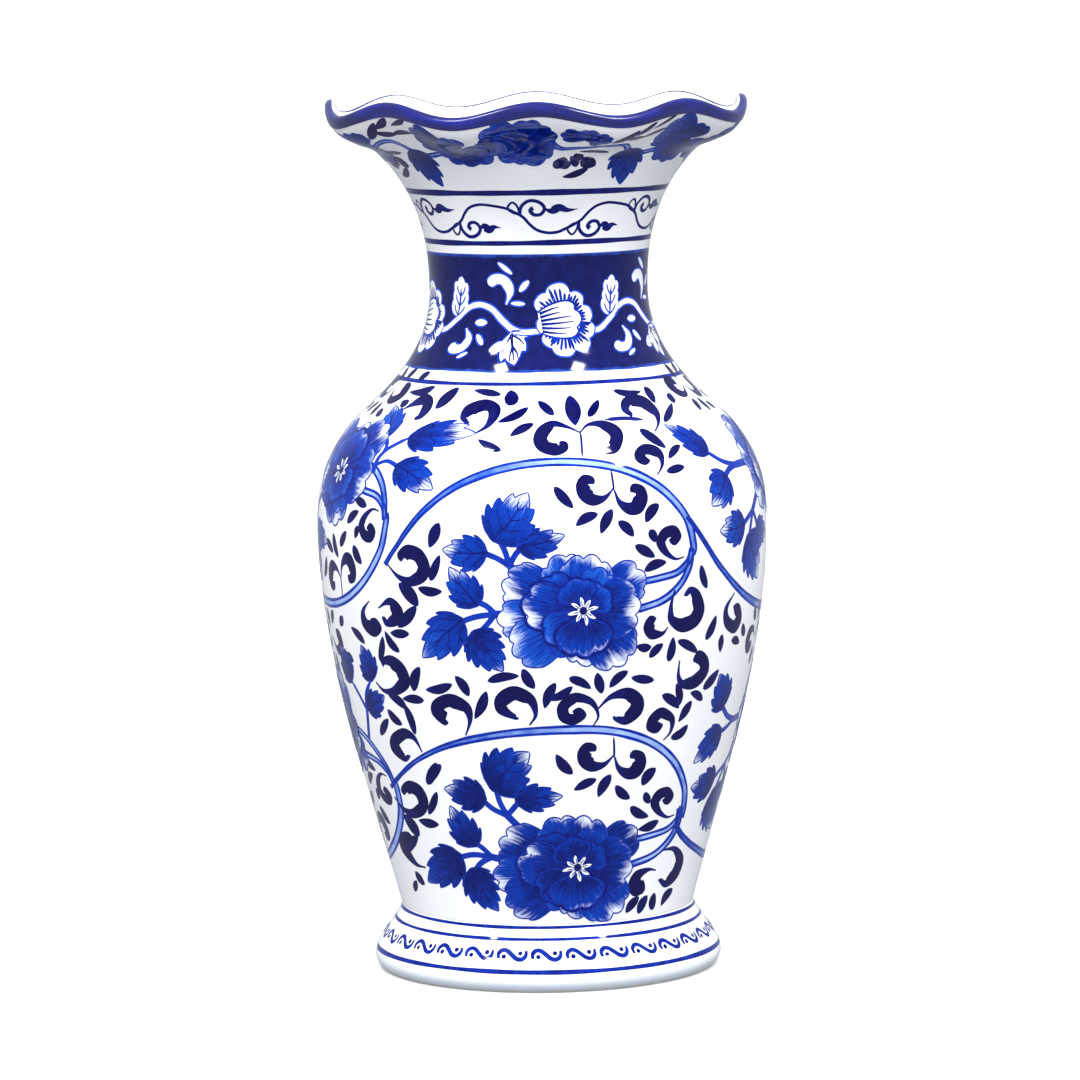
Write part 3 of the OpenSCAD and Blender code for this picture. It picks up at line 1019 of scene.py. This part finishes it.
# and leaflets: (start, end, width)
UPPER_DABS = [
    ((-26, 207.3), (-14.5, 206), 2.6), ((-11, 202.5), (-11, 207.5), 4),
    ((-13.5, 197.3), (-4, 202), 2.8), ((-0.5, 204), (4.5, 199.3), 2.8),
    ((11, 196), (11, 205.5), 4.4), ((16, 198.5), (21.5, 203.8), 2.8), ((-9, 193), (-2, 197), 2.8),
    ((29, 206.5), (41, 205.5), 2.4), ((44, 201.5), (44, 207), 3), ((42, 195.5), (52, 201), 3),
    ((31.5, 194), (37.5, 187.5), 3), ((37, 184), (43, 188), 2.8), ((35, 180), (41.5, 181), 2.6),
    ((-18.5, 192), (-11, 188.5), 2.8), ((-58, 205.5), (-45, 208), 2.6),
    ((-38.5, 201), (-33, 208), 3.4), ((24.5, 121.5), (29, 120.8), 2.6),
    ((28.5, 117), (32.5, 121.5), 2.6), ((34.5, 115), (35.5, 123.5), 2.8),
    ((37, 122), (44.5, 117), 2.8), ((43.5, 147.5), (46, 139), 2.8), ((47, 121), (50.5, 129), 2.8),
    ((59, 119), (64, 117.5), 2.6), ((54, 115.5), (54, 122), 2.6),
    ((-43, 125.5), (-36.5, 125.8), 2.8), ((-45, 126), (-40.5, 119), 2.8),
    ((-48.5, 115), (-46, 124), 2.8), ((-60, 125.5), (-54, 120.5), 2.6)]
# and thin stems: (width, angles and heights)
UPPER_STICKS = [(0.8, [(11.5, 186), (12, 192), (12, 194.5)]),
                (1.8, [(21, 197.5), (28, 197.6), (34.5, 196.8)])]

# Scrolls over and beside the lower peony: (width, round end or not, angles and heights)
LOWER_CURLS = [
    (4.2, True, [(-22.5, 91), (-20.3, 97), (-21, 102), (-26, 105), (-31, 102.5), (-32, 98.5),
         (-29, 95), (-27.5, 95.5)]),
    (4.4, False, [(-4, 95), (-2, 99), (-3, 105), (-8, 108.3), (-12.5, 105), (-12.5, 100),
         (-8, 97.3), (-7, 97.8)]),
    (3.4, True, [(13.5, 94), (15, 98), (13, 103.5), (8, 105.8), (4, 102), (4.5, 97), (8, 95.5),
         (11, 98), (9.5, 100.5), (7.5, 99.5)]),
    (4.4, False, [(14.5, 100.5), (18, 105), (23, 106.5), (27, 103), (27, 98), (23, 94.5),
         (19.5, 96), (19, 97.5)]),
    (3.4, True, [(36, 87), (38.5, 90), (38.5, 95), (34, 98.5), (30.5, 96), (30, 92), (33, 90.5),
         (35, 93)]),
    (4.2, True, [(38, 115), (38, 109), (40, 105.5), (45, 105), (49, 109), (48.5, 114), (45, 117),
         (43, 114)]),
    (4.4, False, [(-52, 107), (-49, 104), (-44, 104), (-39, 108), (-40, 114), (-44, 117),
         (-48, 115.5), (-47.5, 113)]),
    (4.2, False, [(-38, 84), (-40, 89.5), (-44, 91.3), (-49.5, 88), (-50.5, 83.5), (-46, 80),
         (-43, 82)]),
    (4.2, True, [(42, 40), (38, 41), (33, 40), (31, 35.5), (33.5, 32), (37.5, 33), (36.5, 37)]),
    (4.2, False, [(43, 47), (50, 47), (56, 42), (55, 36), (49, 33), (44, 36)]),
    (4.2, False, [(-48, 41), (-54, 41.5), (-60, 46), (-59, 51), (-53, 53), (-50, 49)])]
# and leaflets: (start, end, width)
LOWER_DABS = [
    ((-33.5, 106.5), (-25, 109), 2.8), ((-24, 112), (-20.5, 105), 2.8),
    ((-19.5, 97), (-15.5, 107), 3), ((-15, 110.5), (-6.5, 112.5), 2.8),
    ((-5.5, 115), (-2.5, 108), 3), ((0, 101), (3, 110), 2.8), ((1, 104), (7.5, 108.5), 2.6),
    ((6.5, 111.5), (12.5, 107.5), 2.8), ((14, 113), (15.5, 105.5), 3),
    ((17.5, 107.5), (22.5, 113), 2.8), ((23.5, 110.5), (30.5, 109), 2.8),
    ((33.5, 103.5), (40, 98), 3), ((38, 107), (40, 99), 2.8), ((40.5, 93), (44.5, 100), 2.8),
    ((38.5, 87.5), (44.5, 91.5), 2.8), ((48.5, 103.5), (54.5, 109.5), 3),
    ((43.5, 103), (49, 99.5), 2.8), ((-37.5, 105.5), (-34.5, 114.5), 3.4),
    ((-42, 102.5), (-34.5, 102.5), 2.8), ((-47.5, 103.5), (-41, 99), 2.8),
    ((-42, 101), (-39.5, 90), 2.8), ((-49, 98), (-44, 93), 2.8), ((-55, 88), (-49.5, 94.5), 3),
    ((-38, 72.5), (-32, 80), 3.6), ((31, 25.5), (36, 31), 3), ((37, 24.5), (40, 31), 3),
    ((43.8, 25), (43.5, 31.5), 3), ((48.5, 26), (54, 31.5), 3), ((-55, 39), (-51, 34.5), 2.8),
    ((-59, 31), (-55.5, 35.5), 2.6)]


def around(navy, easel, curls, dabs, sticks=()):
    """Scrolls, leaflets and stems from the tables of angles and heights, all let down a little."""
    down = np.array([0, 0.7])
    flourish(navy, easel,
             [(width, bulb, easel.local(points) - down) for width, bulb, points in curls],
             [(*(easel.local([start, end]) - down), width) for start, end, width in dabs])
    for width, points in sticks:
        line(navy, easel, easel.local(points) - down, width, 2)


def leafy(kit, easel, stalks, leaves):
    """Stalks, each (points, width), and then leaves, each (base, tip, width, how white)."""
    for points, width in stalks:
        line(kit["blue"], easel, points, width, 3, 0.25, (1.0, 0.5))
    for base, tip, width, pale in leaves:
        leaf(kit["wash"], kit["blue"], easel, base, tip, width, 4, pale)


def crown_leaves(kit, angle, z):
    """Three leaves over a hanging flower, on a stalk from where its arch forks."""
    leafy(kit, Easel(OUTSIDE, angle, z),
          [([(24.5, -5.5), (23.5, -1), (25, 3), (29, 6.5), (32.5, 9)], 1.9),
           ([(24.5, 2), (24, 5), (21.4, 8)], 1.6), ([(24, -2.5), (29, -0.8), (36, -2.8)], 1.5)],
          [((21.4, 7.7), (9.3, 22), 10, 0.5), ((31.3, 9.3), (56.5, 11.5), 12.5, 1.0),
           ((34, -1.8), (53.5, -10), 11, 0.8)])


def side_leaves(kit, turn):
    """Leaves that come round the left edge between the two tiers, by angle and height."""
    easel = Easel(OUTSIDE, turn, 100)
    stalks = [([(-63, 85), (-60.5, 93), (-58.5, 101), (-54.5, 107)], 1.9),
              ([(-60, 96), (-63, 101), (-66, 105)], 1.5),
              ([(-61, 91), (-60, 95), (-58, 97.5)], 1.5)]
    leaves = [((-54, 106.5), (-56.5, 119)), ((-66, 104.5), (-70, 117)),
              ((-59.5, 96.5), (-49.5, 102))]
    leafy(kit, easel, [(easel.local(points), width) for points, width in stalks],
          [(*easel.local(ends), 10, 0.5) for ends in leaves])


# ---------------------------------------------------------------- motifs of neck, mouth and foot


def reserve(kit, easel, points, width, coat=2, shape=None):
    """White stroke left in the navy ground, with the brighter blue edge it was outlined in."""
    points = np.array(points)
    if len(points) == 2:
        points = np.array([points[0], points.mean(0), points[1]])
    curve = smooth(points, 0.35)
    w = width * hand(len(curve), 0.06) if shape is None else shape(curve, width)
    ribbon(kit["glow"], easel, curve, w + 1.1, coat - 1, 0.2)
    ribbon(kit["white"], easel, curve, w, coat)


def dab(curve, width):
    """Width along one short touch of the brush."""
    return width * np.maximum(0.06, np.sin(np.pi * np.linspace(0, 1, len(curve))) ** 0.6)


def band_peony(kit, easel):
    """White peony of the navy band: uneven lobes, finely veined, round one broad petal."""
    coat = 6
    lobes = [(103, 13.0, 27), (60, 10.8, 22), (16, 10.2, 24), (-22, 11.2, 22), (-56, 12.4, 22),
             (-97, 12.6, 27), (-130, 11.0, 22), (-168, 9.8, 24), (138, 12.2, 24)]
    turns = np.linspace(-180, 180, 121)[:-1]
    reach = np.full(len(turns), 8.6)
    for bearing, far, spread in lobes:
        off = np.abs((turns - bearing + 180) % 360 - 180) / spread
        reach = np.maximum(reach, far * np.clip(1 - 0.3 * off**3, 0.1, 1))
    ray = np.stack([np.cos(np.radians(turns)), np.sin(np.radians(turns))], 1)
    mix = np.linspace(0.02, 1, 11)
    for brush, grow, level in ((kit["glow"], 0.6, coat - 1), (kit["white"], 0.0, coat)):
        radius = (reach[:, None] + grow) * mix
        theta, s = easel.place(radius * ray[:, :1], radius * ray[:, 1:])
        brush.stroke(easel.skin, theta, s, level, 0.2, closed=True)
    for bearing, far, spread in lobes:
        for share in (-0.95, -0.55, -0.2, 0.15, 0.5):
            turn = (bearing + share * spread + 180) % 360 - 180
            here = np.array([math.cos(math.radians(turn)), math.sin(math.radians(turn))])
            edge = np.interp(turn, turns, reach)
            stop = 0.97 if share < -0.9 else random.uniform(0.76, 0.9)
            line(kit["pen"], easel, [here * edge * f for f in (0.5, 0.7, stop)], 0.95,
                 coat + 1, 0.5, (1.0, 0.4))
    petal(kit["white"], kit["pen"], easel, 6, 15.5, 13, coat + 3.5, root=0.5, streaks=6,
          at=(-9.3, -0.6), heel=0.55, line_w=0.7)


def feather(kit, easel, base, tip, width):
    """Slim leaf of the band: round lobes in pairs up a stem, one at the tip, and its veins."""
    pairs = 3
    a, b = np.array(base, float), np.array(tip, float)
    lead = (b - a) / np.hypot(*(b - a))
    left = np.array([-lead[1], lead[0]])
    lobe = np.hypot(*(b - a)) / (pairs + 0.6)
    reserve(kit, easel, [b - lead * 1.4 * lobe, b], 0.42 * width, 3, dab)
    for k in range(pairs):
        root = a + lead * lobe * (k * 0.85 + 0.1)
        for side in (-1, 1):
            end = root + lead * lobe * 1.3 + side * left * width * (0.42 - 0.05 * k)
            reserve(kit, easel, [root + side * left * 0.6, end], 0.40 * width, 3, dab)
            vein = [root, root + (end - root) * 0.4 + side * left * 0.4, end - (end - root) * 0.25]
            line(kit["pen"], easel, vein, 0.6, 5, 0.15)
    line(kit["pen"], easel, [a, (a + b) / 2, b - lead * lobe], 0.8, 5, 0.15)


def band_unit(kit, angle):
    """A peony of the navy band, and the vine, leaves and commas between it and the next."""
    easel = Easel(OUTSIDE, angle, 229.3)
    reserve(kit, easel, easel.local([(8, 227.3), (17, 226), (25.6, 229.6), (33, 233.6),
                                     (40, 234.9), (47, 233.5), (53, 229.8), (59, 226.6),
                                     (64.5, 225.7), (71, 226), (79, 226.5)]), 1.7)
    for points, width, shape in (
            ([(55, 235), (57, 239.5), (54, 243.2), (49, 243.6), (45.5, 241.6)], 3.4, comma),
            ([(33, 226.8), (35.5, 223.5), (33, 220.4), (28, 219.8), (25.5, 221.4)], 3.2, comma),
            ([(51, 249.4), (58.5, 245.4)], 1.6, dab), ([(62, 239.4), (67, 243.2)], 1.9, dab),
            ([(57.5, 235.5), (65, 235.2)], 1.3, dab), ([(38, 228.9), (45, 228.8)], 2.2, dab),
            ([(40, 224.9), (44, 221.4)], 1.6, dab), ([(31.5, 217), (37, 218.8)], 1.3, dab),
            ([(57, 222), (48, 219.6)], 4.0, dab)):
        reserve(kit, easel, easel.local(points), width, 2, shape)
    feather(kit, easel, *easel.local([(25.8, 230.5), (28.3, 244.3)]), 8.2)
    leaf(kit["white"], kit["pen"], easel, *easel.local([(58, 226), (61, 214.8)]), 9.5, 1,
         0.0, 3, 0.8)
    band_peony(kit, easel)


def paint_neck():
    kit = {"glow": Brush("band_glow", PAINTS["glow"]), "pen": Brush("band_lines", PAINTS["blue"]),
           "white": Brush("band_reserve", PAINTS["white"], "white_glaze")}
    for angle in (13, 102, 194, 288):
        band_unit(kit, angle)
    put_away(kit)


def paint_border():
    """Running scroll at the foot of the mouth, with a curl under each crest and in each dip."""
    navy = Brush("neck_border", PAINTS["blue"])
    middle = 264.4
    spiral = [(-10.8, -1.2), (-10, -4.2), (-6.4, -6.2), (-2, -5.7), (0.5, -3.6), (-1.2, -1.5),
              (-4.4, -1.4), (-6, -2.9), (-4.6, -3.7)]
    bud = [(-11.4, -1.6), (-14, -2.1), (-16.3, -3.7), (-14, -5.7), (-11.8, -4.3), (-11, -1.7)]
    for k in range(12):
        up = 1 if k % 2 == 0 else -1
        gap = 30 + 2 * up
        easel = Easel(OUTSIDE, -29.3 + 30 * k + (0 if up > 0 else 2), middle)
        wave = [(-13.5, -2.4), (-9.5, -0.6), (-6.5, 1.9), (-3, 3.9), (2, 4.9), (7, 4.7),
                (gap - 17.5, 3.7), (gap - 13.5, 2.4)]

        def laid(points):
            """Local points, turned over at every other curl."""
            return easel.local([(angle, middle + up * rise) for angle, rise in points])

        line(navy, easel, laid(wave), 1.05, 2, 0.9, (1.0, 1.0))
        line(navy, easel, laid(spiral), 1.25, 3, 0.9, (0.8, 1.3))
        line(navy, easel, laid(bud), 0.8, 4, 0.9, (1.0, 1.0))
        reach = 11.5 if up > 0 else 16
        flame = [(0, -3.6), (0.22 * reach, -2.6), (0.45 * reach, -3.7), (0.7 * reach, -2.8),
                 (reach, -3.1)]
        curve = smooth(laid(flame), 0.4)
        t = np.linspace(0, 1, len(curve))
        swell = 0.9 + 2.2 * ease(t, 0.05, 0.35) * (0.8 + 0.2 * np.cos(9 * t - 3))
        ribbon(navy, easel, curve, swell * (1 - 0.93 * ease(t, 0.55, 1)), 5, 0.9)
    navy.finish()


def garland(kit, angle):
    """One repeat of the garland under the lip, counted from its hanging leaf."""
    easel = Easel(OUTSIDE, angle, 287)
    stem = [(-31, 292.6), (-26, 288.5), (-19, 289), (-11.5, 290.6), (-5, 290.4), (0, 287.4),
            (5, 286.2), (13, 287.2), (20, 289)]
    vine(kit, easel, easel.local(stem), 2.0)
    side_on = [(150, 19, 13, 0.3), (172, 17, 12, 0.1), (100, 10, 10, 0.2), (-15, 9, 9, 0.2),
               (-125, 13, 12, 0.1), (-55, 13, 14, 0.3), (-95, 12.5, 13, 0.1)]
    blossom(kit, Easel(OUTSIDE, angle + 22.5, 290), side_on, 6, 0, 0.7, 0)
    full_face = [(145, 17, 13, 0.3), (60, 11, 11, 0.2), (18, 12, 10, 0.3), (100, 10.5, 12, 0.2),
                 (-35, 11.5, 11, 0.1), (-75, 14, 15, 0.3), (-125, 14, 13, 0.1), (178, 17, 13, 0.3),
                 (150, 11, 10, 0.0), (-150, 11, 10, 0.0)]
    blossom(kit, Easel(OUTSIDE, angle + 43, 290.6), full_face, 6, 0, 0.7, 2)
    small = [(180, 9.5, 8, 0.3), (140, 6, 6, 0.1), (90, 6, 7, 0.1), (20, 8, 7, 0.3),
             (-30, 5, 5, 0.0)]
    blossom(kit, Easel(OUTSIDE, angle - 17.7, 292.6), small, 6, 0, 0.7, 0)
    leaf(kit["wash"], kit["blue"], easel, *easel.local([(-0.5, 288), (4, 275.5)]), 12.5, 4, 0.25)
    for start, end, width in (((-27, 284), (-21.5, 283.6), 4.4), ((-24, 281.6), (-20, 283.6), 3.2),
                              ((-19.5, 286.8), (-16.5, 284.6), 2.8), ((-21, 285.8), (-18, 282), 2.4),
                              ((-16.5, 285.4), (-10.5, 282.2), 3.8), ((-15, 283), (-12, 285), 2.4),
                              ((-23, 278.6), (-13, 281.6), 2.6), ((-18.5, 287.6), (-7.5, 287), 2.2),
                              ((-11, 292.2), (-3.7, 296), 3.2), ((-7, 293.4), (0.5, 292), 2.4),
                              ((-1, 292), (8.5, 292.9), 2.0), ((-5, 294.2), (1.5, 297), 2.8),
                              ((1.5, 294.4), (9, 297.6), 1.8)):
        leaflet(kit["navy"], easel, *easel.local([start, end]), width)


def paint_mouth():
    kit = body_kit("mouth")
    # The garland gets the darker wash with less bare glaze: painted shade under the flare
    kit["wash"].material = PAINTS["shade"]
    for angle in (-47, 33, 104, 175, 245):
        garland(kit, angle)
    put_away(kit)


def paint_foot():
    """A row of little waves, each with two dots."""
    navy = Brush("foot_waves", PAINTS["blue"])
    repeats = 30
    for k in range(repeats):
        easel = Easel(FOOT, 360 / repeats * k - 0.6, 13)
        wave = [(-4.7, 11.9), (-4.9, 13.4), (-3.6, 14.5), (-1.9, 14.3), (0, 13.0),
                (1.6, 11.9), (3.4, 11.7), (4.7, 12.8), (4.8, 14.4)]
        line(navy, easel, easel.local(wave), random.uniform(1.5, 1.7), 2, 0.6, (0.7, 0.6))
        for spot in ((-2.9, 12.5), (2.8, 13.6)):
            blob(navy, easel, easel.local([spot])[0], random.uniform(0.75, 0.9), 2)
    navy.finish()


# ---------------------------------------------------------------- painting by section


def body_kit(name):
    """A fresh set of brushes for one part of the vase."""
    return {"navy": Brush("scrolls_" + name, PAINTS["navy"]),
            "blue": Brush("outlines_" + name, PAINTS["blue"]),
            "wash": Brush("petals_" + name, PAINTS["wash"]),
            "vine": Brush("vines_" + name, PAINTS["vine"]),
            "white": Brush("whites_" + name, PAINTS["white"], "white_glaze")}


def put_away(kit):
    """Makes the pieces of every brush that was used."""
    for brush in kit.values():
        if brush.quads:
            brush.finish()


def paint_body():
    """Two tiers of four peonies, upright and hanging by turns, among scrolls."""
    for side, turn in (("front", 0), ("back", 188)):
        kit = body_kit("upper_" + side)
        peony_unit(kit, 10 + turn, 134)
        around(kit["navy"], Easel(OUTSIDE, turn - 0.2, 190), UPPER_CURLS, UPPER_DABS, UPPER_STICKS)
        put_away(kit)
    for side, turn in (("front", 0), ("back", 184)):
        kit = body_kit("lower_" + side)
        kit["wash"].material = PAINTS["deep"]
        peony_unit(kit, 10.5 + turn, 43, LOW_ARCH, 0.16, 8)
        around(kit["navy"], Easel(OUTSIDE, turn - 0.1, 100), LOWER_CURLS, LOWER_DABS)
        side_leaves(kit, turn)
        put_away(kit)
    kit = body_kit("upper_right")
    hanging_unit(kit, (92, 178), (92, 178), (86, 178), leaves=RIGHT_LEAVES)
    crown_leaves(kit, 92, 178)
    fill_gaps(kit["navy"], ((78, 117), (103, 119), (136, 186), (133, 155), (103, 205),
                            (70, 205)))
    put_away(kit)
    kit = body_kit("upper_left")
    hanging_unit(kit, (289.7, 182), (293.5, 178.5), (293.5, 178.5), squeeze=0.9,
                 petals=PEONY[3:])
    crown_leaves(kit, 291, 184)
    leaf(kit["wash"], kit["blue"], Easel(OUTSIDE, 289.7, 182, -1, 0.9), (-71, 16), (-85.5, 11), 11,
         pale=0.7)
    fill_gaps(kit["navy"], ((263, 122), (283, 119), (262, 204), (287, 205), (240, 180)))
    put_away(kit)
    for name, bent, angle, turned, start in (
            ("lower_right", 100, 100, 95, [(-57.5, 28), (-53.5, 36)]),
            ("lower_left", 269, 273, 276, [(-46, 40.5)])):
        kit = body_kit(name)
        kit["wash"].material = PAINTS["deep"]
        hanging_unit(kit, (bent, 88), (angle, 88), (turned, 88), start + HIGH_ARCH[3:],
                     leaves=RIGHT_LEAVES)
        put_away(kit)


def fill_gaps(navy, places):
    """Sprigs between the flowers, every other one turned over."""
    for k, (angle, z) in enumerate(places):
        flourish(navy, Easel(OUTSIDE, angle, z, (-1) ** k), SPRIG_CURLS, SPRIG_DABS)


def paint_lines():
    """Lines and floods that run right round the pot."""
    navy = Brush("lines", PAINTS["blue"])
    for skin, z, width, load in ((FOOT, 7.5, 1.6, 0.6), (FOOT, 17.9, 1.2, 0.6),
                                 (FOOT, 21.6, 1.1, 0.6), (OUTSIDE, 208.8, 1.6, 0.6),
                                 (OUTSIDE, 256.0, 1.8, 0.9), (OUTSIDE, 273.3, 2.2, 0.9)):
        ring(navy, skin, z, width, load)
    navy.finish()
    band = Brush("neck_ground", PAINTS["band"])
    flood(band, OUTSIDE, OUTSIDE.up(212.5), OUTSIDE.up(252.2))
    band.finish()
    lip = Brush("lip_colour", PAINTS["lip"])
    split = OUTSIDE.up(bezier(RIM_OUTSIDE, LIP_SPLIT)[1])
    flood(lip, OUTSIDE, split + 2.7, OUTSIDE.s[-1], LIP_COAT, 0.5)
    flood(lip, INSIDE, INSIDE.s[-1] - 0.6, INSIDE.s[-1], LIP_COAT)
    lip.finish()


# ---------------------------------------------------------------- camera, floor and light


def camera():
    """The photograph's view: level with the rim, a long lens, looking slightly down."""
    data = bpy.data.cameras.new("camera")
    data.lens = 177.1
    data.sensor_width = 36.0
    eye = bpy.data.objects.new("camera", data)
    eye.location = (-0.0008, -1.852, 0.352)
    tilt = Matrix.Rotation(math.radians(90 - 6.229), 4, "X")
    roll = Matrix.Rotation(math.radians(-0.86), 4, "Z")
    eye.matrix_world = Matrix.Translation(eye.location) @ tilt @ roll
    bpy.context.scene.collection.objects.link(eye)
    bpy.context.scene.camera = eye


def floor():
    """A wide, pale table top. It takes the vase's shadow but casts no light back on it."""
    n = Nodes("floor")
    grain = n.noise(6.0, 3.0)
    n.feed(n.shader.inputs["Base Color"], n.blend(grain, (0.78, 0.78, 0.785, 1),
                                                  (0.81, 0.81, 0.81, 1)))
    n.shader.inputs["Roughness"].default_value = 0.9
    n.shader.inputs["Specular IOR Level"].default_value = 0.0
    mesh = bpy.data.meshes.new("floor")
    half = 150.0
    mesh.from_pydata([(-half, -half, 0), (half, -half, 0), (half, half, 0), (-half, half, 0)],
                     [], [(0, 1, 2, 3)])
    mesh.materials.append(n.material)
    ground = bpy.data.objects.new("floor", mesh)
    bpy.context.scene.collection.objects.link(ground)
    ground.visible_diffuse = False
    ground.visible_glossy = False


def aim(lamp, azimuth, elevation, distance):
    """Points a lamp at the middle of the vase. Azimuth 0 is the camera's side."""
    a, e = math.radians(azimuth), math.radians(elevation)
    away = Vector((math.sin(a) * math.cos(e), -math.cos(a) * math.cos(e), math.sin(e)))
    lamp.location = Vector((0, 0, 0.2)) + away * distance
    lamp.rotation_euler = away.to_track_quat("Z", "Y").to_euler()
    bpy.context.scene.collection.objects.link(lamp)


def softbox(name, azimuth, elevation, distance, width, height, power):
    """Small bright area light, the one that shows as a spot in the glaze."""
    data = bpy.data.lights.new(name, "AREA")
    data.shape = "RECTANGLE"
    data.size = width
    data.size_y = height
    data.energy = power
    aim(bpy.data.objects.new(name, data), azimuth, elevation, distance)


def fill(name, azimuth, elevation, strength, spread):
    """Wide soft light that shades the vase but has no edge to see in the glaze."""
    data = bpy.data.lights.new(name, "SUN")
    data.energy = strength
    data.angle = math.radians(spread)
    lamp = bpy.data.objects.new(name, data)
    lamp.visible_glossy = False
    aim(lamp, azimuth, elevation, 3.0)


def studio():
    world = bpy.data.worlds.new("studio")
    world.use_nodes = True
    world.node_tree.nodes["Background"].inputs[0].default_value = (0.90, 0.94, 1.0, 1)
    world.node_tree.nodes["Background"].inputs[1].default_value = 0.55
    bpy.context.scene.world = world
    bpy.context.scene.view_settings.view_transform = "Standard"
    fill("low", 0, 14, 0.9, 80)
    for side in (-1, 1):
        name = "left" if side < 0 else "right"
        softbox("key_high_" + name, 49 * side, 57.5, 1.6, 0.22, 0.18, 9.5)
        softbox("key_low_" + name, 52 * side, 44, 1.6, 0.13, 0.12, 4.0)
        fill("front_" + name, 24 * side, 40, 1.35, 50)
        fill("back_" + name, 160 * side, 42, 1.1, 50)


camera()
floor()
studio()
shell_pieces()
PAINTS = {"navy": ink("navy_ink", (0.003, 0.003, 0.060, 1), (0.006, 0.012, 0.190, 1)),
          "blue": ink("blue_ink", (0.002, 0.004, 0.110, 1), (0.004, 0.035, 0.400, 1)),
          "wash": wash("cobalt_wash", 0.0), "deep": wash("deeper_wash", 0.14),
          # The shade wash is painted shade, for the flowers under the flare
          "shade": wash("painted_shade_wash", 0.22), "vine": vine_wash(),
          "white": white_glaze("white_reserve"),
          "glow": ink("glow_ink", (0.010, 0.040, 0.420, 1), (0.020, 0.080, 0.620, 1)),
          "band": band_ground(), "lip": lip_cobalt()}
paint_lines()
paint_body()
paint_neck()
paint_border()
paint_mouth()
paint_foot()
